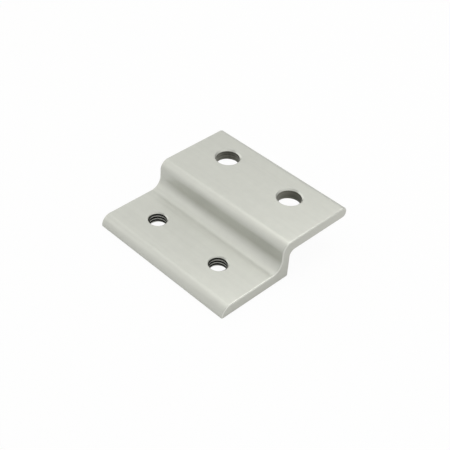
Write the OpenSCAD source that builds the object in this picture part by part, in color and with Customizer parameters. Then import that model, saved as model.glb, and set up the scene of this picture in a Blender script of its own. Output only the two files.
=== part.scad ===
// Panel retainer: one length sawn from an aluminium Z-section, with two plain and two tapped holes.
// X runs along the extrusion, Y across it from the panel side to the frame side, and Z is up.
// The origin is midway between the frame bolts, on the face that sits on the frame.

/* [Extrusion] */
// Length of the sawn piece, along the extrusion
length = 50.8; // [40:0.1:150]
// Lower flange, from its nose to the heel of the web
lower_reach = 25.5; // [23:0.1:60]
// Upper flange, from above the heel of the web to its tip
upper_reach = 23.5; // [21:0.1:60]
// Offset between the flanges, underside to underside
step_height = 8.9; // [7:0.1:40]
// Thickness of the lower flange, which holds the threads
lower_thickness = 3.6; // [2.5:0.05:5]
// Thickness of the upper flange
upper_thickness = 3.6; // [2.5:0.05:6]
// Thickness of the web, square to its faces
web_thickness = 3.1; // [2:0.05:5]
// Lean of the web away from the panel side, in degrees
web_lean = 1.5; // [0:0.5:10]

/* [Rounding] */
// Large radius on the upper edge of the lower flange's nose
nose_radius = 3.1; // [0.5:0.1:4]
// Small radius under the lower flange's nose
nose_foot_radius = 0.4; // [0.2:0.05:0.8]
// Radius of the heel, where the web meets the lower face
heel_radius = 0.5; // [0.2:0.05:1.5]
// Inside radius under the upper flange, against the web
armpit_radius = 1.7; // [0.5:0.1:4]
// Radius on the lower edge of the upper flange's tip
tip_under_radius = 1.6; // [0.3:0.05:2.5]
// Radius on the upper edge of the upper flange's tip
tip_top_radius = 1.9; // [0.3:0.05:2.5]
// Outside radius where the web turns into the upper flange
crest_radius = 3; // [0.5:0.1:5]
// Inside radius where the web runs out on the lower flange
fillet_radius = 3.6; // [0.5:0.1:6]

/* [Holes] */
// Distance between the two holes of each row, along the extrusion
hole_spacing = 25.4; // [15:0.1:30]
// How far the middle of the length lies to the right of both pairs of holes, by the saw's tolerance
saw_offset = 1; // [0:0.1:3]
// Diameter of the plain holes for the frame bolts
bolt_hole_diameter = 7.14; // [4:0.01:10]
// Frame bolt row, from above the heel of the web
bolt_hole_setback = 14; // [12:0.1:15]
// Chamfer round the top of each frame bolt hole
bolt_hole_chamfer = 0.45; // [0.1:0.05:0.6]
// Chamfer round the underside of each frame bolt hole
bolt_hole_under_chamfer = 0.3; // [0.1:0.05:0.4]
// Diameter at the thread crests of the tapped holes
thread_bore_diameter = 5.2; // [3:0.05:8]
// Tapped row, from the lower flange's nose
tapped_hole_setback = 11.7; // [9:0.1:13]
// Chamfer at both mouths of each tapped hole
tapped_hole_chamfer = 0.45; // [0.1:0.05:0.8]

/* [Hidden] */
$fn = 96;
// Pale grey of the clear anodised metal
anodised_grey = [0.81, 0.82, 0.78];
// How far a cutting shape runs past the face that it cuts
overshoot = 1;
// Shortest straight left between two rounded corners
shortest_straight = 0.05;
// Largest share of the web's panel face that one radius may take
largest_share = 0.47;

// Faces and edges of the section, from the driving dimensions
seat_z = 0;
foot_z = seat_z - step_height;
ledge_z = foot_z + lower_thickness;
top_z = seat_z + upper_thickness;
heel_y = -bolt_hole_setback;
nose_y = heel_y - lower_reach;
tip_y = heel_y + upper_reach;
tapped_y = nose_y + tapped_hole_setback;
web_face_rise = top_z - ledge_z;

// Radii, kept within the walls that carry them
nose_round = min(nose_radius, lower_thickness - nose_foot_radius - shortest_straight);
tip_top_round = min(tip_top_radius, upper_thickness - tip_under_radius - shortest_straight);
crest_round = min(crest_radius, web_face_rise * largest_share);
fillet_round = min(fillet_radius, web_face_rise * largest_share);

// Where the web's two faces are at a height
function frame_face_y(z) = heel_y + (z - foot_z) * tan(web_lean);
function panel_face_y(z) = frame_face_y(z) - web_thickness / cos(web_lean);

// Sharp corners of the section, each with the radius that rounds it
nose_foot = [nose_y, foot_z, nose_foot_radius];
heel = [heel_y, foot_z, heel_radius];
armpit = [frame_face_y(seat_z), seat_z, armpit_radius];
tip_under = [tip_y, seat_z, tip_under_radius];
tip_top = [tip_y, top_z, tip_top_round];
crest = [panel_face_y(top_z), top_z, crest_round];
root = [panel_face_y(ledge_z), ledge_z, fillet_round];
nose_top = [nose_y, ledge_z, nose_round];

function flat_point(corner) = [corner.x, corner.y];
function unit(v) = v / norm(v);

// Direction from a corner to a neighbour, and half the angle between its two neighbours
function toward(at, other) = unit(flat_point(other) - flat_point(at));
function half_angle(before, at, after) = acos(toward(at, before) * toward(at, after)) / 2;

// Where a corner's arc touches the side that runs to one neighbour
function tangent_point(at, other, half) = flat_point(at) + toward(at, other) * at.z / tan(half);

// Direction from a corner to the centre of its arc, and that centre
function inward(before, at, after) = unit(toward(at, before) + toward(at, after));
function arc_centre(before, at, after) =
    flat_point(at) + inward(before, at, after) * at.z / sin(half_angle(before, at, after));

// Outline of an inner corner filled as far as the centre of its arc
function filled_corner(before, at, after) = [
    tangent_point(at, before, half_angle(before, at, after)),
    arc_centre(before, at, after),
    tangent_point(at, after, half_angle(before, at, after))
];

// The disc that leaves only the fillet of a filled corner
module fillet_disc(before, at, after) {
    translate(arc_centre(before, at, after)) circle(r = at.z);
}

// What an outer corner loses to its arc, stretched a little past the corner
module corner_waste(before, at, after) {
    half = half_angle(before, at, after);
    difference() {
        polygon([
            arc_centre(before, at, after),
            tangent_point(at, before, half),
            flat_point(at) - inward(before, at, after) * at.z,
            tangent_point(at, after, half)
        ]);
        translate(arc_centre(before, at, after)) circle(r = at.z);
    }
}

// The Z-section: a sharp outline, less two discs at the inner corners and the waste of six outer ones
module section() {
    difference() {
        polygon(concat(
            [flat_point(nose_foot), flat_point(heel)],
            filled_corner(heel, armpit, tip_under),
            [flat_point(tip_under), flat_point(tip_top), flat_point(crest)],
            filled_corner(crest, root, nose_top),
            [flat_point(nose_top)]
        ));
        fillet_disc(heel, armpit, tip_under);
        fillet_disc(crest, root, nose_top);
        corner_waste(nose_top, nose_foot, heel);
        corner_waste(nose_foot, heel, armpit);
        corner_waste(armpit, tip_under, tip_top);
        corner_waste(tip_under, tip_top, crest);
        corner_waste(tip_top, crest, root);
        corner_waste(root, nose_top, nose_foot);
    }
}

// The section drawn in Y and Z and run along X
module sawn_length() {
    rotate([90, 0, 90])
        translate([0, 0, saw_offset - length / 2])
            linear_extrude(height = length) section();
}

// A through hole down Z with a cone at each mouth, between two faces
module chamfered_hole(diameter, low_z, high_z, low_chamfer, high_chamfer) {
    radius = diameter / 2;
    translate([0, 0, low_z - overshoot])
        cylinder(h = high_z - low_z + 2 * overshoot, r = radius);
    translate([0, 0, low_z - overshoot])
        cylinder(h = low_chamfer + overshoot, r1 = radius + low_chamfer + overshoot, r2 = radius);
    translate([0, 0, high_z - high_chamfer])
        cylinder(h = high_chamfer + overshoot, r1 = radius, r2 = radius + high_chamfer + overshoot);
}

// A row of two holes, one each side of the origin
module hole_pair(row_y) {
    for (side = [-1, 1])
        translate([side * hole_spacing / 2, row_y, 0])
            children();
}

module frame_bolt_holes() {
    hole_pair(0)
        chamfered_hole(bolt_hole_diameter, seat_z, top_z, bolt_hole_under_chamfer, bolt_hole_chamfer);
}

// Drilled to the thread's crests and chamfered on both faces
module tapped_holes() {
    hole_pair(tapped_y)
        chamfered_hole(thread_bore_diameter, foot_z, ledge_z, tapped_hole_chamfer, tapped_hole_chamfer);
}

module panel_retainer() {
    color(anodised_grey)
        difference() {
            sawn_length();
            frame_bolt_holes();
            tapped_holes();
        }
}

panel_retainer();
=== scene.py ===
import math
import bpy
from mathutils import Matrix, Vector


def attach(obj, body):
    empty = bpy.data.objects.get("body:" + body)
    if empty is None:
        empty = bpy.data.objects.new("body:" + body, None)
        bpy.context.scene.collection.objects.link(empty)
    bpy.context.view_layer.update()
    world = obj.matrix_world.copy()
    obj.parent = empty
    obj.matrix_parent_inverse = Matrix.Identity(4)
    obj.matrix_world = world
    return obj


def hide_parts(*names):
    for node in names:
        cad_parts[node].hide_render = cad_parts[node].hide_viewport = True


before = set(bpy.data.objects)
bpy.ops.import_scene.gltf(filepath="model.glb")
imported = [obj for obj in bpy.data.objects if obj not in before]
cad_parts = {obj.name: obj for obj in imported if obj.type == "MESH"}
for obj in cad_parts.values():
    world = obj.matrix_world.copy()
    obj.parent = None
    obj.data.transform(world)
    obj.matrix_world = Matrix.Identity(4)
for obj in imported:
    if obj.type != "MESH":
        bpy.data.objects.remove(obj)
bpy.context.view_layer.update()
mm = 0.001
scene = bpy.context.scene
print("frame loaded")

# Kinds of group socket
floatSocket = "NodeSocketFloat"
wholeSocket = "NodeSocketInt"
vectorSocket = "NodeSocketVector"
colourSocket = "NodeSocketColor"
materialSocket = "NodeSocketMaterial"
shapeSocket = "NodeSocketGeometry"

# How the nodes of a tree are laid out in the editor
nodesPerRow = 12
nodeWidth = 200
nodeHeight = 320


def socketNamed(sockets, key):  # by its index or its name
    if isinstance(key, int):
        return sockets[key]
    return next(socket for socket in sockets if socket.name == key and socket.enabled)


def put(tree, kind, inputs=None, **settings):  # adds a node, sets it up and links or fills its inputs
    node = tree.nodes.new(kind)
    row, column = divmod(len(tree.nodes), nodesPerRow)
    node.location = (column * nodeWidth, -row * nodeHeight)
    for name, value in settings.items():
        setattr(node, name, value)
    for key, value in (inputs or {}).items():
        target = socketNamed(node.inputs, key)
        if isinstance(value, bpy.types.NodeSocket):
            tree.links.new(value, target)
        else:
            target.default_value = value
    return node


def out(node, key=0):
    return socketNamed(node.outputs, key)


def newGroup(name, kind, inputs, outputs):  # inputs as (name, kind, default), outputs as (name, kind)
    tree = bpy.data.node_groups.new(name, kind)
    for label, socketType, default in inputs:
        made = tree.interface.new_socket(name=label, in_out="INPUT", socket_type=socketType)
        if default is not None:
            made.default_value = default
    for label, socketType in outputs:
        tree.interface.new_socket(name=label, in_out="OUTPUT", socket_type=socketType)
    return tree, tree.nodes.new("NodeGroupInput")


def closeGroup(tree, results):
    end = tree.nodes.new("NodeGroupOutput")
    end.location = ((nodesPerRow + 1) * nodeWidth, 0)
    for label, result in results.items():
        tree.links.new(result, socketNamed(end.inputs, label))


def passOn(tree, given, node, names):  # links a node's inputs to the group's own, as {node's: group's}
    for target, source in names.items():
        tree.links.new(out(given, source), node.inputs[target])


def calc(tree, operation, a, b=0.0):  # one Math node, where a and b are numbers or sockets
    return out(put(tree, "ShaderNodeMath", {0: a, 1: b}, operation=operation))


def vector3(tree, x=0.0, y=0.0, z=0.0):
    return out(put(tree, "ShaderNodeCombineXYZ", {0: x, 1: y, 2: z}))


def apart(tree, vector):  # a node whose outputs 0, 1 and 2 are the vector's X, Y and Z
    return put(tree, "ShaderNodeSeparateXYZ", {0: vector})


# The retainer: one length sawn from a Z-section, two plain holes and two tapped ones
retainer = {
    "length": 50.8 * mm,
    "sawOffset": 1.0 * mm,  # the middle of the length lies this far right of the holes
    "lowerReach": 25.5 * mm,
    "upperReach": 23.5 * mm,
    "stepHeight": 8.9 * mm,
    "lowerThickness": 3.6 * mm,
    "upperThickness": 3.6 * mm,
    "webThickness": 3.1 * mm,
    "webLean": math.radians(1.5),
    "noseRadius": 3.1 * mm,
    "noseFootRadius": 0.4 * mm,
    "heelRadius": 0.5 * mm,
    "armpitRadius": 1.7 * mm,
    "tipUnderRadius": 1.6 * mm,
    "tipTopRadius": 1.9 * mm,
    "crestRadius": 3.0 * mm,
    "filletRadius": 3.6 * mm,
    "edgeRadius": 0.38 * mm,  # left by the tumbler round both saw cuts, less than any outer radius
    "edgeSteps": 5,
    "arcSteps": 26,  # on each rounded corner
    "holeSpacing": 25.4 * mm,
    "boltRadius": 3.57 * mm,
    "boltSetback": 14.0 * mm,
    "boltChamfer": 0.45 * mm,
    "boltUnderChamfer": 0.3 * mm,
    "tappedSetback": 11.7 * mm,
    "threadCrestRadius": 2.6 * mm,
    "threadRootRadius": 3.1 * mm,
    "threadPitch": 1.0 * mm,
    "threadTurn": math.radians(125),  # where round the hole the thread starts
    "tappedChamfer": 0.45 * mm,
    "holeSegments": 96,
}


def sectionCorners(size):  # (y, z, radius) of the eight corners of the section, counter-clockwise
    footZ = -size["stepHeight"]
    ledgeZ = footZ + size["lowerThickness"]
    topZ = size["upperThickness"]
    heelY = -size["boltSetback"]
    noseY = heelY - size["lowerReach"]
    tipY = heelY + size["upperReach"]
    lean = math.tan(size["webLean"])
    webAcross = size["webThickness"] / math.cos(size["webLean"])

    def frameFaceY(z):
        return heelY + (z - footZ) * lean

    return [
        (noseY, footZ, size["noseFootRadius"]),
        (heelY, footZ, size["heelRadius"]),
        (frameFaceY(0.0), 0.0, size["armpitRadius"]),
        (tipY, 0.0, size["tipUnderRadius"]),
        (tipY, topZ, size["tipTopRadius"]),
        (frameFaceY(topZ) - webAcross, topZ, size["crestRadius"]),
        (frameFaceY(ledgeZ) - webAcross, ledgeZ, size["filletRadius"]),
        (noseY, ledgeZ, size["noseRadius"]),
    ]


def sectionWire(size):  # the sharp section as a closed wire, each corner carrying its radius
    corners = sectionCorners(size)
    # A profile's X and Y come out as -Y and -Z when it is swept along X
    points = [(-y, -z, 0) for y, z, radius in corners]
    sides = [(i, (i + 1) % len(corners)) for i in range(len(corners))]
    mesh = bpy.data.meshes.new("sectionWire")
    mesh.from_pydata(points, sides, [])
    radii = mesh.attributes.new("cornerRadius", "FLOAT", "POINT")
    radii.data.foreach_set("value", [radius for y, z, radius in corners])
    return bpy.data.objects.new("sectionWire", mesh)


def stored(tree, geometry, name, value, dataType="INT", domain="FACE"):
    return out(put(tree, "GeometryNodeStoreNamedAttribute", {
        "Geometry": geometry, "Name": name, "Value": value}, data_type=dataType, domain=domain))


def named(tree, name, dataType="FLOAT"):
    node = put(tree, "GeometryNodeInputNamedAttribute", {"Name": name}, data_type=dataType)
    return out(node, "Attribute")


def picked(tree, index, choices):  # the choice that a whole number points at
    node = put(tree, "GeometryNodeIndexSwitch", data_type="FLOAT")
    while len(node.index_switch_items) < len(choices):
        node.index_switch_items.new()
    for choice, socket in zip([index] + choices, node.inputs):
        tree.links.new(choice, socket)
    return out(node)


# Faces carry the number of the finish that they get at the end of the tree
finishes = ["extrudedSkin", "deburredEdgeAndHighlight", "sawnEnd", "cleanCut", "drilledWallPaintedShade", "cutThreadPaintedShade"]
finishNumber = {name: number for number, name in enumerate(finishes)}


def roundedSection(tree, given):  # the section with round corners, each point knowing its way outward
    wire = out(put(tree, "GeometryNodeMeshToCurve", {"Mesh": out(given, "Section")}))
    corner = named(tree, "cornerRadius")
    rounded = out(put(tree, "GeometryNodeFilletCurve",
                      {"Curve": wire, 1: out(given, "Arc Steps"), "Radius": corner}, mode="POLY"))
    along = apart(tree, out(put(tree, "GeometryNodeInputTangent")))
    outward = vector3(tree, 0.0, calc(tree, "MULTIPLY", out(along, 1), -1.0), out(along, 0))
    return stored(tree, rounded, "outward", outward, "FLOAT_VECTOR", "POINT")


def sweepLine(tree, given):  # stations along X: a few in each rounded edge and one long run between
    steps, radius = out(given, "Edge Steps"), out(given, "Edge Radius")
    index = out(put(tree, "GeometryNodeInputIndex"))
    fromMiddle = calc(tree, "SUBTRACT", calc(tree, "SUBTRACT", index, steps), 0.5)
    rank = calc(tree, "SUBTRACT", calc(tree, "ADD", steps, 0.5), calc(tree, "ABSOLUTE", fromMiddle))
    angle = calc(tree, "MULTIPLY", calc(tree, "DIVIDE", rank, steps), math.pi / 2)
    inset = calc(tree, "MULTIPLY", radius, calc(tree, "SUBTRACT", 1.0, calc(tree, "COSINE", angle)))
    pull = calc(tree, "MULTIPLY", radius, calc(tree, "SUBTRACT", calc(tree, "SINE", angle), 1.0))
    half = calc(tree, "SUBTRACT", calc(tree, "MULTIPLY", out(given, "Length"), 0.5), inset)
    fromCentre = calc(tree, "MULTIPLY", calc(tree, "SIGN", fromMiddle), half)
    alongX = calc(tree, "ADD", fromCentre, out(given, "Saw Offset"))
    count = calc(tree, "ADD", calc(tree, "MULTIPLY", steps, 2.0), 2.0)
    line = out(put(tree, "GeometryNodeMeshLine", {"Count": count, "Offset": (1, 0, 0)}))
    line = out(put(tree, "GeometryNodeSetPosition", {"Geometry": line, "Position": vector3(tree, alongX)}))
    line = stored(tree, line, "pull", pull, "FLOAT", "POINT")
    stations = out(put(tree, "GeometryNodeMeshToCurve", {"Mesh": line}))
    return out(put(tree, "GeometryNodeSetCurveNormal", {"Curve": stations}, mode="Z_UP"))


def sawnLengthGroup():  # rounds the corners, runs the section along X and rounds the edges of both cuts
    tree, given = newGroup("sawnLength", "GeometryNodeTree", [
        ("Section", shapeSocket, None),
        ("Length", floatSocket, 50.8 * mm),
        ("Saw Offset", floatSocket, 0.0),
        ("Edge Radius", floatSocket, 0.3 * mm),
        ("Edge Steps", wholeSocket, 5),
        ("Arc Steps", wholeSocket, 24),
    ], [("Mesh", shapeSocket)])
    profile = roundedSection(tree, given)
    swept = out(put(tree, "GeometryNodeCurveToMesh", {
        "Curve": sweepLine(tree, given), "Profile Curve": profile, "Fill Caps": True}))
    drawnIn = out(put(tree, "ShaderNodeVectorMath", {
        0: named(tree, "outward", "FLOAT_VECTOR"), "Scale": named(tree, "pull")}, operation="SCALE"))
    swept = out(put(tree, "GeometryNodeSetPosition", {"Geometry": swept, "Offset": drawnIn}))
    closeGroup(tree, {"Mesh": swept})
    return tree


def drillGroup():  # one drilled hole with both its chamfers, as a cutter that runs past both faces
    tree, given = newGroup("drill", "GeometryNodeTree", [
        ("Radius", floatSocket, 3 * mm),
        ("Low", floatSocket, 0.0),
        ("High", floatSocket, 3.6 * mm),
        ("Low Chamfer", floatSocket, 0.3 * mm),
        ("High Chamfer", floatSocket, 0.3 * mm),
        ("Segments", wholeSocket, 96),
        ("Overshoot", floatSocket, 1 * mm),
        ("Wall Finish", wholeSocket, 0),
        ("Chamfer Finish", wholeSocket, 0),
    ], [("Cutter", shapeSocket)])
    ringShift = 1.75  # takes the rings from -1.5 ... 1.5 to 0.25 ... 3.25, and the switch drops the fraction
    chamferSlope = 0.5  # a face that looks more than this up or down is a chamfer
    radius, low, high = out(given, "Radius"), out(given, "Low"), out(given, "High")
    over, segments = out(given, "Overshoot"), out(given, "Segments")
    lowChamfer, highChamfer = out(given, "Low Chamfer"), out(given, "High Chamfer")

    # A unit cylinder in three stretches: its four rings take the cutter's heights and radii
    cylinder = out(put(tree, "GeometryNodeMeshCylinder", {
        "Vertices": segments, "Side Segments": 3, "Radius": 1.0, "Depth": 3.0}))
    at = apart(tree, out(put(tree, "GeometryNodeInputPosition")))
    ring = calc(tree, "ADD", out(at, 2), ringShift)
    height = picked(tree, ring, [
        calc(tree, "SUBTRACT", low, over),
        calc(tree, "ADD", low, lowChamfer),
        calc(tree, "SUBTRACT", high, highChamfer),
        calc(tree, "ADD", high, over),
    ])
    reach = picked(tree, ring, [
        calc(tree, "ADD", radius, calc(tree, "ADD", lowChamfer, over)),
        radius,
        radius,
        calc(tree, "ADD", radius, calc(tree, "ADD", highChamfer, over)),
    ])
    x = calc(tree, "MULTIPLY", out(at, 0), reach)
    y = calc(tree, "MULTIPLY", out(at, 1), reach)
    position = vector3(tree, x, y, height)
    cutter = out(put(tree, "GeometryNodeSetPosition", {"Geometry": cylinder, "Position": position}))
    halfStep = calc(tree, "DIVIDE", math.pi, segments)  # keeps its edges clear of the thread's
    turn = vector3(tree, z=halfStep)
    cutter = out(put(tree, "GeometryNodeTransform", {"Geometry": cutter, "Rotation": turn}))

    facing = apart(tree, out(put(tree, "GeometryNodeInputNormal")))
    isChamfer = calc(tree, "GREATER_THAN", calc(tree, "ABSOLUTE", out(facing, 2)), chamferSlope)
    finish = picked(tree, isChamfer, [out(given, "Wall Finish"), out(given, "Chamfer Finish")])
    closeGroup(tree, {"Cutter": stored(tree, cutter, "finish", finish)})
    return tree


def tapGroup():  # the helical groove that a tap cuts, right-handed
    tree, given = newGroup("tap", "GeometryNodeTree", [
        ("Crest Radius", floatSocket, 2.6 * mm),
        ("Root Radius", floatSocket, 3.1 * mm),
        ("Pitch", floatSocket, 1 * mm),
        ("Low", floatSocket, 0.0),
        ("High", floatSocket, 3.6 * mm),
        ("Turn", floatSocket, 0.0),
        ("Segments", wholeSocket, 96),
    ], [("Groove", shapeSocket)])
    flankSlope = math.tan(math.radians(30))  # the two flanks stand 60 degrees apart
    rootShare = 1 / 16  # half the flat bottom of the groove, as a share of the pitch
    sinkShare = 0.18  # how far the cutter reaches inside the crests, as a share of the pitch
    spareTurns = 2.0  # below the hole, and at least as many above it
    pitch, low, high = out(given, "Pitch"), out(given, "Low"), out(given, "High")
    crestRadius = out(given, "Crest Radius")

    turnsInside = calc(tree, "DIVIDE", calc(tree, "SUBTRACT", high, low), pitch)
    turns = calc(tree, "ADD", 2 * spareTurns, calc(tree, "CEIL", turnsInside))
    helix = out(put(tree, "GeometryNodeCurveSpiral", {
        "Resolution": out(given, "Segments"), "Rotations": turns, "Start Radius": crestRadius,
        "End Radius": crestRadius, "Height": calc(tree, "MULTIPLY", turns, pitch), "Reverse": True}))
    helix = out(put(tree, "GeometryNodeSetCurveNormal", {"Curve": helix}, mode="Z_UP"))

    # The groove's profile: X points away from the hole's axis, from the crests
    rise = calc(tree, "SUBTRACT", out(given, "Root Radius"), crestRadius)
    sink = calc(tree, "MULTIPLY", pitch, -sinkShare)
    rootHalf = calc(tree, "MULTIPLY", pitch, rootShare)
    flare = calc(tree, "MULTIPLY", calc(tree, "SUBTRACT", rise, sink), flankSlope)
    mouthHalf = calc(tree, "ADD", rootHalf, flare)
    profile = out(put(tree, "GeometryNodeCurvePrimitiveQuadrilateral", {
        "Point 1": vector3(tree, rise, calc(tree, "MULTIPLY", rootHalf, -1.0)),
        "Point 2": vector3(tree, rise, rootHalf),
        "Point 3": vector3(tree, sink, mouthHalf),
        "Point 4": vector3(tree, sink, calc(tree, "MULTIPLY", mouthHalf, -1.0))}, mode="POINTS"))
    groove = out(put(tree, "GeometryNodeCurveToMesh", {
        "Curve": helix, "Profile Curve": profile, "Fill Caps": True}))
    start = calc(tree, "SUBTRACT", low, calc(tree, "MULTIPLY", pitch, spareTurns))
    groove = out(put(tree, "GeometryNodeTransform", {
        "Geometry": groove,
        "Translation": vector3(tree, z=start),
        "Rotation": vector3(tree, z=out(given, "Turn"))}))
    closeGroup(tree, {"Groove": stored(tree, groove, "finish", finishNumber["cutThreadPaintedShade"])})
    return tree


def rowOfTwo(tree, cutter, spacing, row):  # one copy each side of the origin
    start = vector3(tree, calc(tree, "MULTIPLY", spacing, -0.5), row)
    places = out(put(tree, "GeometryNodeMeshLine", {
        "Count": 2, "Start Location": start, "Offset": vector3(tree, spacing)}))
    copies = out(put(tree, "GeometryNodeInstanceOnPoints", {"Points": places, "Instance": cutter}))
    return out(put(tree, "GeometryNodeRealizeInstances", {"Geometry": copies}))


def retainerTree():
    lengths = ["Length", "Saw Offset", "Edge Radius", "Hole Spacing", "Bolt Row", "Bolt Radius",
               "Bolt Chamfer", "Bolt Under Chamfer", "Seat Height", "Top Height", "Tapped Row",
               "Thread Crest Radius", "Thread Root Radius", "Thread Pitch", "Thread Turn",
               "Tapped Chamfer", "Foot Height", "Ledge Height"]
    counts = {"Edge Steps": 5, "Arc Steps": 24, "Hole Segments": 96}
    inputs = [("Section", shapeSocket, None)]
    inputs += [(name, floatSocket, 1 * mm) for name in lengths]
    inputs += [(name, wholeSocket, count) for name, count in counts.items()]
    inputs += [(name, materialSocket, None) for name in finishes]
    tree, given = newGroup("panelRetainer", "GeometryNodeTree", inputs, [("Mesh", shapeSocket)])

    edgeSlope = 0.3  # a face that looks more than this along X is a rounded edge
    endSlope = 0.99  # and one that looks more than this along X is a sawn end
    blank = put(tree, "GeometryNodeGroup", node_tree=sawnLengthGroup())
    shared = ("Section", "Length", "Saw Offset", "Edge Radius", "Edge Steps", "Arc Steps")
    passOn(tree, given, blank, {name: name for name in shared})
    facing = apart(tree, out(put(tree, "GeometryNodeInputNormal")))
    endOn = calc(tree, "ABSOLUTE", out(facing, 0))
    isEdge = calc(tree, "GREATER_THAN", endOn, edgeSlope)
    isEnd = calc(tree, "GREATER_THAN", endOn, endSlope)
    body = stored(tree, out(blank), "finish", calc(tree, "ADD", isEdge, isEnd))  # 0 for all other faces

    drill = drillGroup()
    holes = [
        {"row": "Bolt Row", "wall": "drilledWallPaintedShade", "sizes": {
            "Radius": "Bolt Radius", "Low": "Seat Height", "High": "Top Height",
            "Low Chamfer": "Bolt Under Chamfer", "High Chamfer": "Bolt Chamfer"}},
        {"row": "Tapped Row", "wall": "cleanCut", "sizes": {
            "Radius": "Thread Crest Radius", "Low": "Foot Height", "High": "Ledge Height",
            "Low Chamfer": "Tapped Chamfer", "High Chamfer": "Tapped Chamfer"}},
    ]
    cutters = []
    for hole in holes:
        cutter = put(tree, "GeometryNodeGroup", node_tree=drill)
        cutter.inputs["Wall Finish"].default_value = finishNumber[hole["wall"]]
        cutter.inputs["Chamfer Finish"].default_value = finishNumber["cleanCut"]
        passOn(tree, given, cutter, {**hole["sizes"], "Segments": "Hole Segments"})
        cutters.append(rowOfTwo(tree, out(cutter), out(given, "Hole Spacing"), out(given, hole["row"])))
    tap = put(tree, "GeometryNodeGroup", node_tree=tapGroup())
    passOn(tree, given, tap, {
        "Crest Radius": "Thread Crest Radius", "Root Radius": "Thread Root Radius",
        "Pitch": "Thread Pitch", "Turn": "Thread Turn", "Segments": "Hole Segments",
        "Low": "Foot Height", "High": "Ledge Height"})
    cutters.append(rowOfTwo(tree, out(tap), out(given, "Hole Spacing"), out(given, "Tapped Row")))
    for cutter in cutters:
        body = out(put(tree, "GeometryNodeMeshBoolean", {0: body, 1: cutter},
                       operation="DIFFERENCE", solver="MANIFOLD"))

    crispAngle = math.radians(25)  # an edge that bends more than this stays crisp
    bend = out(put(tree, "GeometryNodeInputMeshEdgeAngle"))
    crisp = calc(tree, "GREATER_THAN", bend, crispAngle)
    body = out(put(tree, "GeometryNodeSetShadeSmooth", {"Geometry": body, "Shade Smooth": True}))
    body = out(put(tree, "GeometryNodeSetShadeSmooth", {
        "Geometry": body, "Selection": crisp, "Shade Smooth": False}, domain="EDGE"))
    body = out(put(tree, "GeometryNodeRealizeInstances", {"Geometry": body}))
    for name, number in finishNumber.items():
        own = named(tree, "finish", "INT")
        chosen = out(put(tree, "FunctionNodeCompare", {
            "A": own, "B": number}, data_type="INT", operation="EQUAL"))
        body = out(put(tree, "GeometryNodeSetMaterial", {
            "Geometry": body, "Selection": chosen, "Material": out(given, name)}))
    closeGroup(tree, {"Mesh": body})
    return tree


def tidySlots(mesh):  # drops the material slots that no face uses
    indices = [0] * len(mesh.polygons)
    mesh.polygons.foreach_get("material_index", indices)
    used = sorted(set(indices))
    kept = [mesh.materials[i] for i in used]
    mesh.materials.clear()
    for material in kept:
        mesh.materials.append(material)
    mesh.polygons.foreach_set("material_index", [used.index(i) for i in indices])


def builtRetainer(size, materials):
    footHeight = -size["stepHeight"]
    noseY = -size["boltSetback"] - size["lowerReach"]
    values = {
        "Length": size["length"],
        "Saw Offset": size["sawOffset"],
        "Edge Radius": size["edgeRadius"],
        "Edge Steps": size["edgeSteps"],
        "Arc Steps": size["arcSteps"],
        "Hole Segments": size["holeSegments"],
        "Hole Spacing": size["holeSpacing"],
        "Bolt Row": 0.0,
        "Bolt Radius": size["boltRadius"],
        "Bolt Chamfer": size["boltChamfer"],
        "Bolt Under Chamfer": size["boltUnderChamfer"],
        "Seat Height": 0.0,
        "Top Height": size["upperThickness"],
        "Tapped Row": noseY + size["tappedSetback"],
        "Thread Crest Radius": size["threadCrestRadius"],
        "Thread Root Radius": size["threadRootRadius"],
        "Thread Pitch": size["threadPitch"],
        "Thread Turn": size["threadTurn"],
        "Tapped Chamfer": size["tappedChamfer"],
        "Foot Height": footHeight,
        "Ledge Height": footHeight + size["lowerThickness"],
        **materials,
    }
    source = sectionWire(size)
    source.data.materials.append(materials["extrudedSkin"])
    scene.collection.objects.link(source)
    modifier = source.modifiers.new("panelRetainer", "NODES")
    modifier.node_group = retainerTree()
    for item in modifier.node_group.interface.items_tree:
        if item.in_out == "INPUT" and item.name in values:
            modifier[item.identifier] = values[item.name]
    weighted = source.modifiers.new("weighted", "WEIGHTED_NORMAL")
    weighted.keep_sharp = True
    weighted.weight = 100  # the large flat faces lead, so they shade flat up to the rounds
    graph = bpy.context.evaluated_depsgraph_get()
    shown = source.evaluated_get(graph)
    mesh = bpy.data.meshes.new_from_object(shown, preserve_all_data_layers=True, depsgraph=graph)
    bpy.data.objects.remove(source)
    mesh.name = "retainer"
    tidySlots(mesh)
    piece = bpy.data.objects.new("retainer", mesh)
    scene.collection.objects.link(piece)
    return piece


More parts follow.
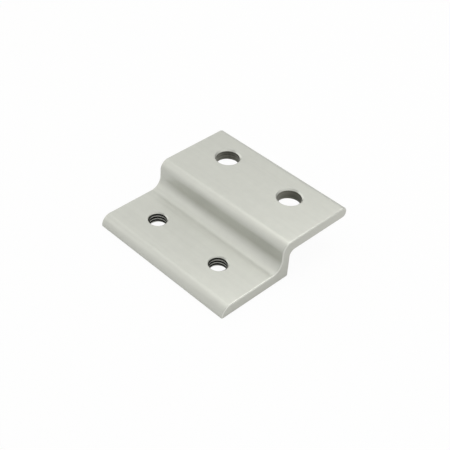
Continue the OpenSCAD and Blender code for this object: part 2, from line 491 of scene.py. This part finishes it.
# Finishes. Positions are in metres, so a scale of 1000 makes a pattern about 1 mm wide
bumpStrength = 0.5
bumpDistance = 0.02 * mm
noiseRoughness = 0.6
finishValues = {
    "extrudedSkin": {
        "Base Color": (0.585, 0.592, 0.556, 1), "Roughness": 0.44, "Line Tone": 0.10,
        "Grain Size": 0.12 * mm, "Grain Tone": 0.06, "Cloud Size": 2.2 * mm, "Cloud Tone": 0.07,
        "Roughness Swing": 0.10, "Line Depth": 0.35, "Grain Depth": 0.30, "metallic": 0.85,
        "lineScale": (25, 1000, 1000)},
    # the tumbled edges: lighter than the skin, partly as bright scraped metal and partly as a painted
    # highlight
    "deburredEdgeAndHighlight": {
        "Base Color": (0.65, 0.655, 0.62, 1), "Roughness": 0.32, "Line Tone": 0.10,
        "Grain Size": 0.15 * mm, "Grain Tone": 0.05, "Cloud Size": 3 * mm, "Cloud Tone": 0.06,
        "Roughness Swing": 0.10, "Line Depth": 0.30, "Grain Depth": 0.20, "metallic": 0.85,
        "lineScale": (2500, 150, 150)},
    "sawnEnd": {
        "Base Color": (0.575, 0.578, 0.540, 1), "Roughness": 0.46, "Line Tone": 0.12,
        "Grain Size": 0.10 * mm, "Grain Tone": 0.05, "Cloud Size": 6 * mm, "Cloud Tone": 0.06,
        "Roughness Swing": 0.14, "Line Depth": 0.60, "Grain Depth": 0.25, "metallic": 0.85,
        "bladeCentre": (0, -40 * mm, 125 * mm), "lineScale": (3200, 60, 60)},
    "cleanCut": {  # the chamfers and the crests of the thread
        "Base Color": (0.585, 0.592, 0.555, 1), "Roughness": 0.36, "Line Tone": 0.10,
        "Grain Size": 0.10 * mm, "Grain Tone": 0.03, "Cloud Size": 4 * mm, "Cloud Tone": 0.03,
        "Roughness Swing": 0.08, "Line Depth": 0.30, "Grain Depth": 0.10, "metallic": 0.9,
        "lineScale": (40, 40, 9000)},
    # the plain bores' walls: their dark colour is painted shade from the dim inside of the hole
    "drilledWallPaintedShade": {
        "Base Color": (0.20, 0.20, 0.172, 1), "Roughness": 0.42, "Line Tone": 2.4,
        "Grain Size": 0.15 * mm, "Grain Tone": 0.08, "Cloud Size": 2 * mm, "Cloud Tone": 0.15,
        "Roughness Swing": 0.15, "Line Depth": 1.50, "Grain Depth": 0.20, "metallic": 0.9,
        "lineScale": (30, 30, 1500)},
    "cutThreadPaintedShade": {  # its grooves, their near-black colour painted shade where light hardly reaches
        "Base Color": (0.03, 0.03, 0.027, 1), "Roughness": 0.32, "Line Tone": 0.20,
        "Grain Size": 0.10 * mm, "Grain Tone": 0.08, "Cloud Size": 1.5 * mm, "Cloud Tone": 0.10,
        "Roughness Swing": 0.12, "Line Depth": 0.30, "Grain Depth": 0.15, "metallic": 0.9,
        "lineScale": (300, 300, 6000)},
}


def centredNoise(tree, position, scale, detail):  # from about -0.5 to 0.5
    noise = out(put(tree, "ShaderNodeTexNoise", {
        "Vector": position, "Scale": scale, "Detail": detail, "Roughness": noiseRoughness}), "Fac")
    return calc(tree, "SUBTRACT", noise, 0.5)


def weighed(tree, *pairs):  # the sum of value times weight
    total = None
    for value, weight in pairs:
        part = calc(tree, "MULTIPLY", value, weight)
        total = part if total is None else calc(tree, "ADD", total, part)
    return total


def metalDetailGroup():  # tool lines, etched grain and cloudy tone of one metal surface
    tree, given = newGroup("metalDetail", "ShaderNodeTree", [
        ("Position", vectorSocket, None),
        ("Line Position", vectorSocket, None),
        ("Base Color", colourSocket, (0.6, 0.6, 0.6, 1)),
        ("Roughness", floatSocket, 0.4),
        ("Line Tone", floatSocket, 0.05),
        ("Grain Size", floatSocket, 0.1 * mm),
        ("Grain Tone", floatSocket, 0.05),
        ("Cloud Size", floatSocket, 10 * mm),
        ("Cloud Tone", floatSocket, 0.03),
        ("Roughness Swing", floatSocket, 0.1),
        ("Line Depth", floatSocket, 0.2),
        ("Grain Depth", floatSocket, 0.2),
    ], [("Color", colourSocket), ("Roughness", floatSocket), ("Height", floatSocket)])
    lineDetail = 4.0
    spotDetail = 2.0
    position = out(given, "Position")
    grainScale = calc(tree, "DIVIDE", 1.0, out(given, "Grain Size"))
    cloudScale = calc(tree, "DIVIDE", 1.0, out(given, "Cloud Size"))
    lines = centredNoise(tree, out(given, "Line Position"), 1.0, lineDetail)
    grain = centredNoise(tree, position, grainScale, spotDetail)
    cloud = centredNoise(tree, position, cloudScale, spotDetail)
    change = weighed(tree, (lines, out(given, "Line Tone")), (grain, out(given, "Grain Tone")),
                     (cloud, out(given, "Cloud Tone")))
    toned = out(put(tree, "ShaderNodeVectorMath", {
        0: out(given, "Base Color"), "Scale": calc(tree, "ADD", 1.0, change)}, operation="SCALE"))
    swing = calc(tree, "MULTIPLY", calc(tree, "ADD", lines, grain), out(given, "Roughness Swing"))
    closeGroup(tree, {
        "Color": toned,
        "Roughness": calc(tree, "ADD", out(given, "Roughness"), swing),
        "Height": weighed(tree, (lines, out(given, "Line Depth")), (grain, out(given, "Grain Depth")))})
    return tree


def bladeArcs(tree, position, centre):  # swaps X for the distance from the middle of the saw blade
    arm = out(put(tree, "ShaderNodeVectorMath", {0: position, 1: centre}, operation="SUBTRACT"))
    flatArm = out(put(tree, "ShaderNodeVectorMath", {0: arm, 1: (0, 1, 1)}, operation="MULTIPLY"))
    radius = out(put(tree, "ShaderNodeVectorMath", {0: flatArm}, operation="LENGTH"), "Value")
    parts = apart(tree, position)
    return vector3(tree, radius, out(parts, 1), out(parts, 2))


def metalFinish(name, detail, values):
    made = bpy.data.materials.new(name)
    made.use_nodes = True
    tree = made.node_tree
    shader = tree.nodes["Principled BSDF"]
    position = out(put(tree, "ShaderNodeTexCoord"), "Object")
    linePosition = position
    if "bladeCentre" in values:
        linePosition = bladeArcs(tree, position, values["bladeCentre"])
    stretched = out(put(tree, "ShaderNodeVectorMath", {
        0: linePosition, 1: values["lineScale"]}, operation="MULTIPLY"))
    group = put(tree, "ShaderNodeGroup", node_tree=detail)
    tree.links.new(position, group.inputs["Position"])
    tree.links.new(stretched, group.inputs["Line Position"])
    for key, value in values.items():
        if key in group.inputs:
            group.inputs[key].default_value = value
    bump = put(tree, "ShaderNodeBump", {
        "Strength": bumpStrength, "Distance": bumpDistance, "Height": out(group, "Height")})
    tree.links.new(out(group, "Color"), shader.inputs["Base Color"])
    tree.links.new(out(group, "Roughness"), shader.inputs["Roughness"])
    tree.links.new(out(bump), shader.inputs["Normal"])
    shader.inputs["Metallic"].default_value = values["metallic"]
    return made


metalDetail = metalDetailGroup()
materials = {name: metalFinish(name, metalDetail, finishValues[name]) for name in finishes}
print("finishes", len(materials))
piece = builtRetainer(retainer, materials)
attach(piece, "root")
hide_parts("panel_retainer")
print("retainer", len(piece.data.polygons), "faces")

camera = {
    "azimuth": math.radians(43.98),  # from straight in front, towards +X
    "elevation": math.radians(40.5),
    "roll": math.radians(3.08),
    "distance": 279.1 * mm,
    "target": Vector((2.907, -15.893, -4.282)) * mm,
    "lens": 77.44,
    "sensor": 36.0,
    "clipStart": 1 * mm,
}


def placeCamera(shot):
    azimuth, elevation, roll = shot["azimuth"], shot["elevation"], shot["roll"]
    flat = math.cos(elevation)
    back = Vector((math.sin(azimuth) * flat, -math.cos(azimuth) * flat, math.sin(elevation)))
    level = Vector((math.cos(azimuth), math.sin(azimuth), 0.0))
    up = back.cross(level)
    right = level * math.cos(roll) + up * math.sin(roll)
    top = up * math.cos(roll) - level * math.sin(roll)
    eye = shot["target"] + back * shot["distance"]
    made = bpy.data.objects.new("camera", bpy.data.cameras.new("camera"))
    made.data.lens = shot["lens"]
    made.data.sensor_width = shot["sensor"]
    made.data.clip_start = shot["clipStart"]
    rows = [[right[k], top[k], back[k], eye[k]] for k in range(3)]
    made.matrix_world = Matrix(rows + [[0, 0, 0, 1]])
    scene.collection.objects.link(made)
    scene.camera = made


placeCamera(camera)
studio = {
    "floorSize": 1.2,
    "floorHeight": -8.9 * mm,
    "floorTone": 0.76,
    "floorRoughness": 0.9,
    "white": 1.0,
    "plainShare": 0.95,  # how much of the floor's look is plain white, the rest takes light and shadow
    "plainShareInMetal": 0.2,  # the same where the metal mirrors the floor
    "lightColour": (1.0, 1.0, 0.97),
    "roomLight": {  # strength of the soft light from each side
        (-1, 0, 0): 1.56, (1, 0, 0): 1.38, (0, -1, 0): 0.67, (0, 1, 0): 0.45, (0, 0, 1): 0.28},
    "roomFalloff": 2.0,  # at 2, equal sides make an even room
    "lampAim": (0, -15, 0),  # in mm, as the lamps' places and sizes are
    "lamps": {
        "overhead": {"place": (0, 0, 400), "size": 560, "power": 0.71},
        "backHigh": {"place": (0, 180, 360), "size": 200, "power": 0.34},
        "frontLeft": {"place": (-250, -250, 250), "size": 160, "power": 0.05},
    },
}


def whiteFloor(values):
    half = values["floorSize"] / 2
    corners = [(-half, -half, 0), (half, -half, 0), (half, half, 0), (-half, half, 0)]
    mesh = bpy.data.meshes.new("floor")
    mesh.from_pydata(corners, [], [(0, 1, 2, 3)])
    mesh.transform(Matrix.Translation((0, 0, values["floorHeight"])))
    floor = bpy.data.objects.new("floor", mesh)
    scene.collection.objects.link(floor)
    paper = bpy.data.materials.new("whitePaper")
    paper.use_nodes = True
    tree = paper.node_tree
    shader = tree.nodes["Principled BSDF"]
    tone = values["floorTone"]
    shader.inputs["Base Color"].default_value = (tone, tone, tone, 1)
    shader.inputs["Roughness"].default_value = values["floorRoughness"]
    shader.inputs["Specular IOR Level"].default_value = 0.0
    light = put(tree, "ShaderNodeLightPath")
    seen = out(light, "Is Camera Ray")
    mirrored = calc(tree, "MAXIMUM", out(light, "Is Glossy Ray"), out(light, "Is Transmission Ray"))
    plainSeen = calc(tree, "MULTIPLY", seen, values["plainShare"])
    plainMirrored = calc(tree, "MULTIPLY", mirrored, values["plainShareInMetal"])
    share = calc(tree, "MAXIMUM", plainSeen, plainMirrored)
    glow = put(tree, "ShaderNodeEmission", {"Color": (1, 1, 1, 1), "Strength": values["white"]})
    mixed = put(tree, "ShaderNodeMixShader", {0: share, 1: out(shader), 2: out(glow)})
    tree.links.new(out(mixed), tree.nodes["Material Output"].inputs["Surface"])
    mesh.materials.append(paper)


def softRoom(values):
    room = bpy.data.worlds.new("room")
    room.use_nodes = True
    tree = room.node_tree
    lit = tree.nodes["Background"]
    direction = out(put(tree, "ShaderNodeTexCoord"), "Generated")
    lobes = []
    for side, strength in values["roomLight"].items():
        facing = out(put(tree, "ShaderNodeVectorMath", {
            0: direction, 1: side}, operation="DOT_PRODUCT"), "Value")
        turned = calc(tree, "MAXIMUM", facing, 0.0)
        lobes.append((calc(tree, "POWER", turned, values["roomFalloff"]), strength))
    tree.links.new(weighed(tree, *lobes), lit.inputs["Strength"])
    lit.inputs["Color"].default_value = (*values["lightColour"], 1)
    white = put(tree, "ShaderNodeBackground", {"Strength": values["white"], "Color": (1, 1, 1, 1)})
    seen = out(put(tree, "ShaderNodeLightPath"), "Is Camera Ray")
    mixed = put(tree, "ShaderNodeMixShader", {0: seen, 1: out(lit), 2: out(white)})
    tree.links.new(out(mixed), tree.nodes["World Output"].inputs["Surface"])
    scene.world = room


def softbox(name, values, aim, tint):
    lamp = bpy.data.lights.new(name, "AREA")
    lamp.shape = "DISK"
    lamp.size = values["size"] * mm
    lamp.energy = values["power"]
    lamp.color = tint
    made = bpy.data.objects.new(name, lamp)
    place = Vector(values["place"]) * mm
    turn = (Vector(aim) * mm - place).to_track_quat("-Z", "Y")
    made.matrix_world = Matrix.Translation(place) @ turn.to_matrix().to_4x4()
    scene.collection.objects.link(made)


whiteFloor(studio)
softRoom(studio)
for name, values in studio["lamps"].items():
    softbox(name, values, studio["lampAim"], studio["lightColour"])
print("studio")
scene.view_settings.view_transform = "Standard"
bpy.context.view_layer.update()
